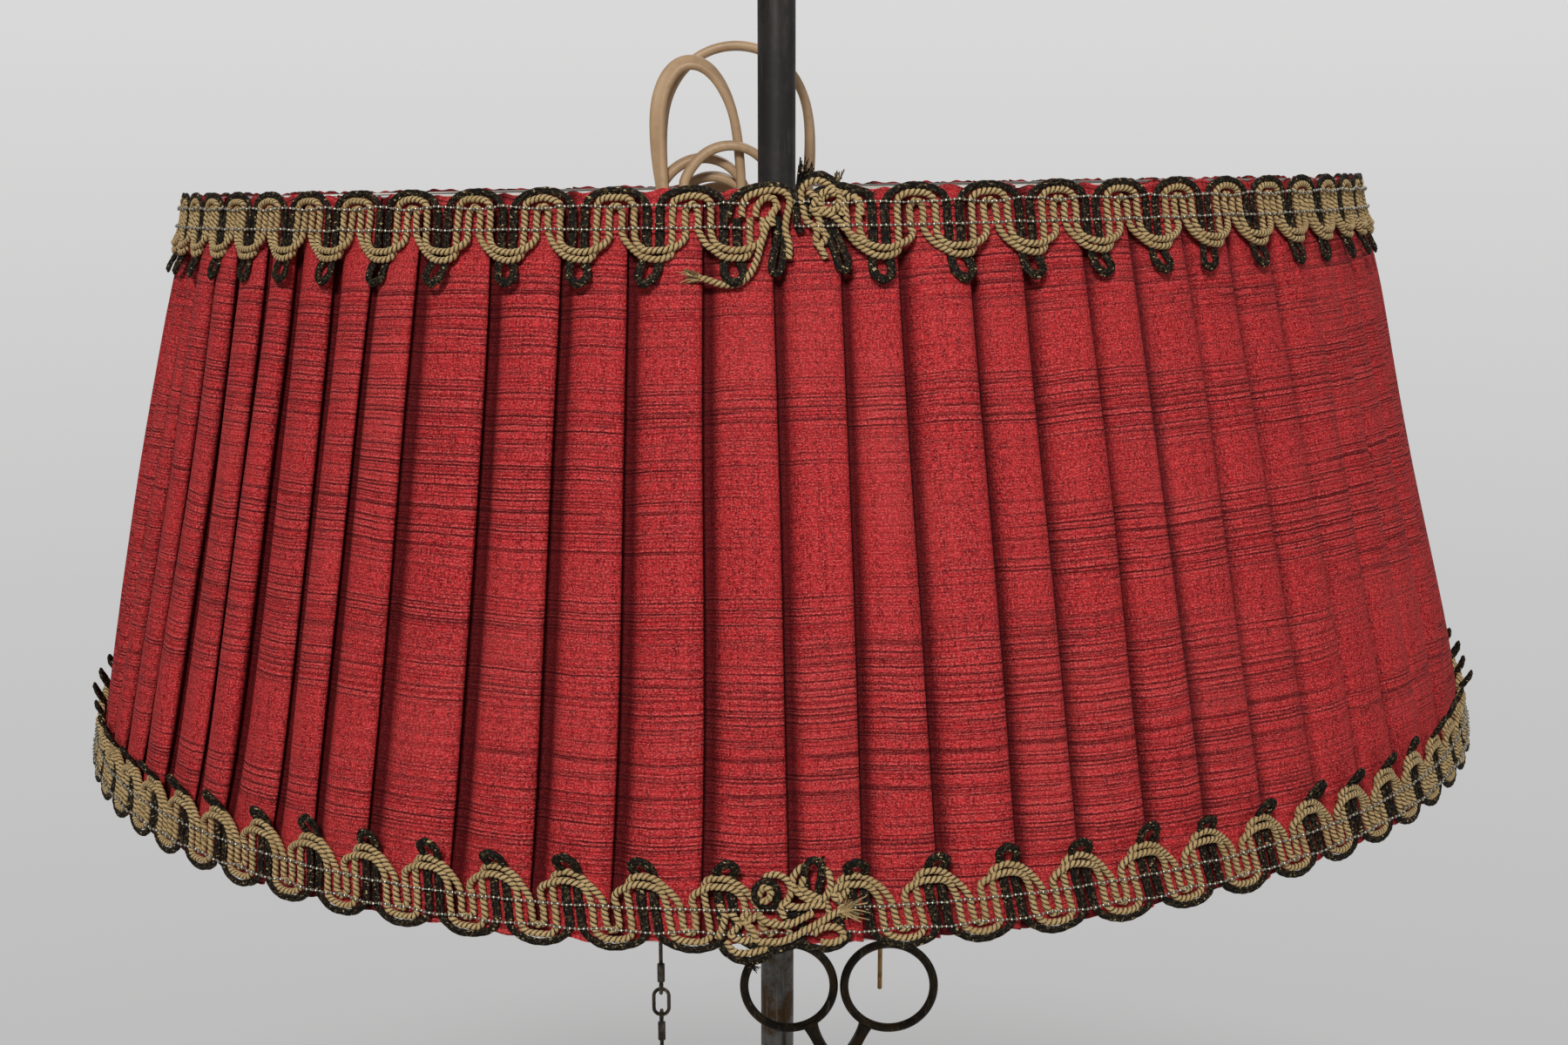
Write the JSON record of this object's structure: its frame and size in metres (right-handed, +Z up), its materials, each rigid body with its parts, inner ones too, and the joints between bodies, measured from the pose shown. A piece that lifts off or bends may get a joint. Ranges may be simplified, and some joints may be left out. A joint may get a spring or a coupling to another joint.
{
  "type": "table lamp",
  "caption": "Tall table lamp: pleated cloth drum shade with braided rims on a rod over an oil font, with hanging wick tools, coiled lead and ring handle.",
  "frame": {"origin": "middle of the felt's underside, on the lamp's rod axis", "axes": "+Z up the rod, +X to the right socket, -Y to the front, where the scissors stand"},
  "size_m": [0.48, 0.4802, 0.8387],
  "materials": {
    "felt": "napped",
    "iron": "rough",
    "brass_body": "aged satin",
    "brass_plain": "aged satin",
    "lower_rod": "tarnished",
    "upper_rod": "blackened",
    "dark_steel": "dark, worn",
    "cluster_metal": "aged satin",
    "socket": "moulded",
    "bushing": "moulded",
    "cap_metal": "spun",
    "bulb_glass": "frosted",
    "frame_wire": "plated",
    "lining": "plain weave",
    "silk": "slubbed silk",
    "braid": "gimp braid",
    "cord": "moulded flex",
    "plug": "moulded",
    "pins": "bright"
  },
  "bodies": {
    "lamp": {"foot_felt": "felt", "foot": "brass_body", "foot_weight": "iron", "foot_nut": "brass_plain", "stem": "brass_body", "lower_rod": "lower_rod", "upper_rod": "upper_rod", "finial_knob": "brass_body", "ring_handle": "brass_body", "font_stop_collar": "brass_body", "tool_disc": "brass_body", "scissors_rest": "brass_body", "hang_rings": "brass_plain"},
    "font": {"font_body": "brass_body", "font_lid": "brass_body", "font_beak_1": "brass_body", "font_beak_2": "brass_body", "font_beak_3": "brass_body"},
    "collar": {"set_collar": "cluster_metal"},
    "lock_screw": {"thumb_screw": "brass_plain"},
    "shade_and_lights": {"cluster_box": "cluster_metal", "cluster_cap": "cluster_metal", "cord_bushing": "bushing", "cord_lead": "cord", "cord_coil": "cord", "plug_body": "plug", "plug_pins": "pins", "socket_left": "socket", "socket_right": "socket", "bulb_cap_left": "cap_metal", "bulb_cap_right": "cap_metal", "bulb_left": "bulb_glass", "bulb_right": "bulb_glass", "spider_hub": "brass_plain", "spider_nut": "brass_plain", "lining": "lining", "pleated_cover": "silk", "top_braid": "braid", "bottom_braid": "braid", "shade_bottom_ring": "frame_wire", "shade_rib_1": "frame_wire", "shade_rib_2": "frame_wire", "shade_rib_3": "frame_wire", "shade_rib_4": "frame_wire", "shade_rib_5": "frame_wire", "shade_rib_6": "frame_wire", "shade_top_ring": "frame_wire", "spider_arm_1": "frame_wire", "spider_arm_2": "frame_wire", "spider_arm_3": "frame_wire"},
    "switch_left": {"switch_knob_left": "socket"},
    "switch_right": {"switch_knob_right": "socket"},
    "scissors": {"scissors_half_right": "dark_steel", "scissors_screw": "dark_steel"},
    "scissors_left": {"scissors_half_left": "dark_steel"},
    "chain_top": {"chain_top_link": "dark_steel"},
    "chain_oval": {"chain_oval_link": "dark_steel"},
    "chain_low": {"chain_low_link": "dark_steel"},
    "hook": {"wick_hook": "brass_plain"},
    "pick": {"wick_pick": "brass_plain"}
  },
  "joints": [
    {"name": "font_turn", "type": "hinge", "parent": "lamp", "child": "font", "pos_m": [0, 0, 0.21], "axis": [0, 0, 1], "continuous": true},
    {"name": "shade_height", "type": "slide", "parent": "lamp", "child": "collar", "axis": [0, 0, 1], "range_m": [-0.028, 0.026]},
    {"name": "lock_screw_turn", "type": "hinge", "parent": "collar", "child": "lock_screw", "pos_m": [0, -0.02, 0.5507], "axis": [0, -1, 0], "range_deg": [0, 360]},
    {"name": "shade_swivel", "type": "hinge", "parent": "collar", "child": "shade_and_lights", "pos_m": [0, 0, 0.56], "axis": [0, 0, 1], "range_deg": [-170, 170]},
    {"name": "switch_left_turn", "type": "hinge", "parent": "shade_and_lights", "child": "switch_left", "pos_m": [-0.046, 0, 0.56], "axis": [0, 0, 1], "continuous": true},
    {"name": "switch_right_turn", "type": "hinge", "parent": "shade_and_lights", "child": "switch_right", "pos_m": [0.046, 0, 0.56], "axis": [0, 0, 1], "continuous": true},
    {"name": "scissors_lift", "type": "slide", "parent": "lamp", "child": "scissors", "axis": [0, 0, 1], "range_m": [0, 0.062]},
    {"name": "scissors_open", "type": "hinge", "parent": "scissors", "child": "scissors_left", "pos_m": [0.0231, -0.022, 0.3503], "axis": [0, -1, 0], "range_deg": [0, 34]},
    {"name": "chain_top_swing", "type": "hinge", "parent": "lamp", "child": "chain_top", "pos_m": [-0.0448, 0, 0.4837], "axis": [1, 0, 0], "range_deg": [-20, 20]},
    {"name": "chain_oval_swing", "type": "hinge", "parent": "chain_top", "child": "chain_oval", "pos_m": [-0.0448, 0, 0.3848], "axis": [1, 0, 0], "range_deg": [-30, 30]},
    {"name": "chain_low_swing", "type": "hinge", "parent": "chain_oval", "child": "chain_low", "pos_m": [-0.0448, 0, 0.3742], "axis": [1, 0, 0], "range_deg": [-30, 30]},
    {"name": "hook_swing", "type": "hinge", "parent": "chain_low", "child": "hook", "pos_m": [-0.0448, 0, 0.3273], "axis": [1, 0, 0], "range_deg": [-35, 35]},
    {"name": "pick_swing", "type": "hinge", "parent": "lamp", "child": "pick", "pos_m": [0.0406, 0.01893, 0.4837], "axis": [0.9063, 0.4226, 0], "range_deg": [-12, 12]}
  ]
}
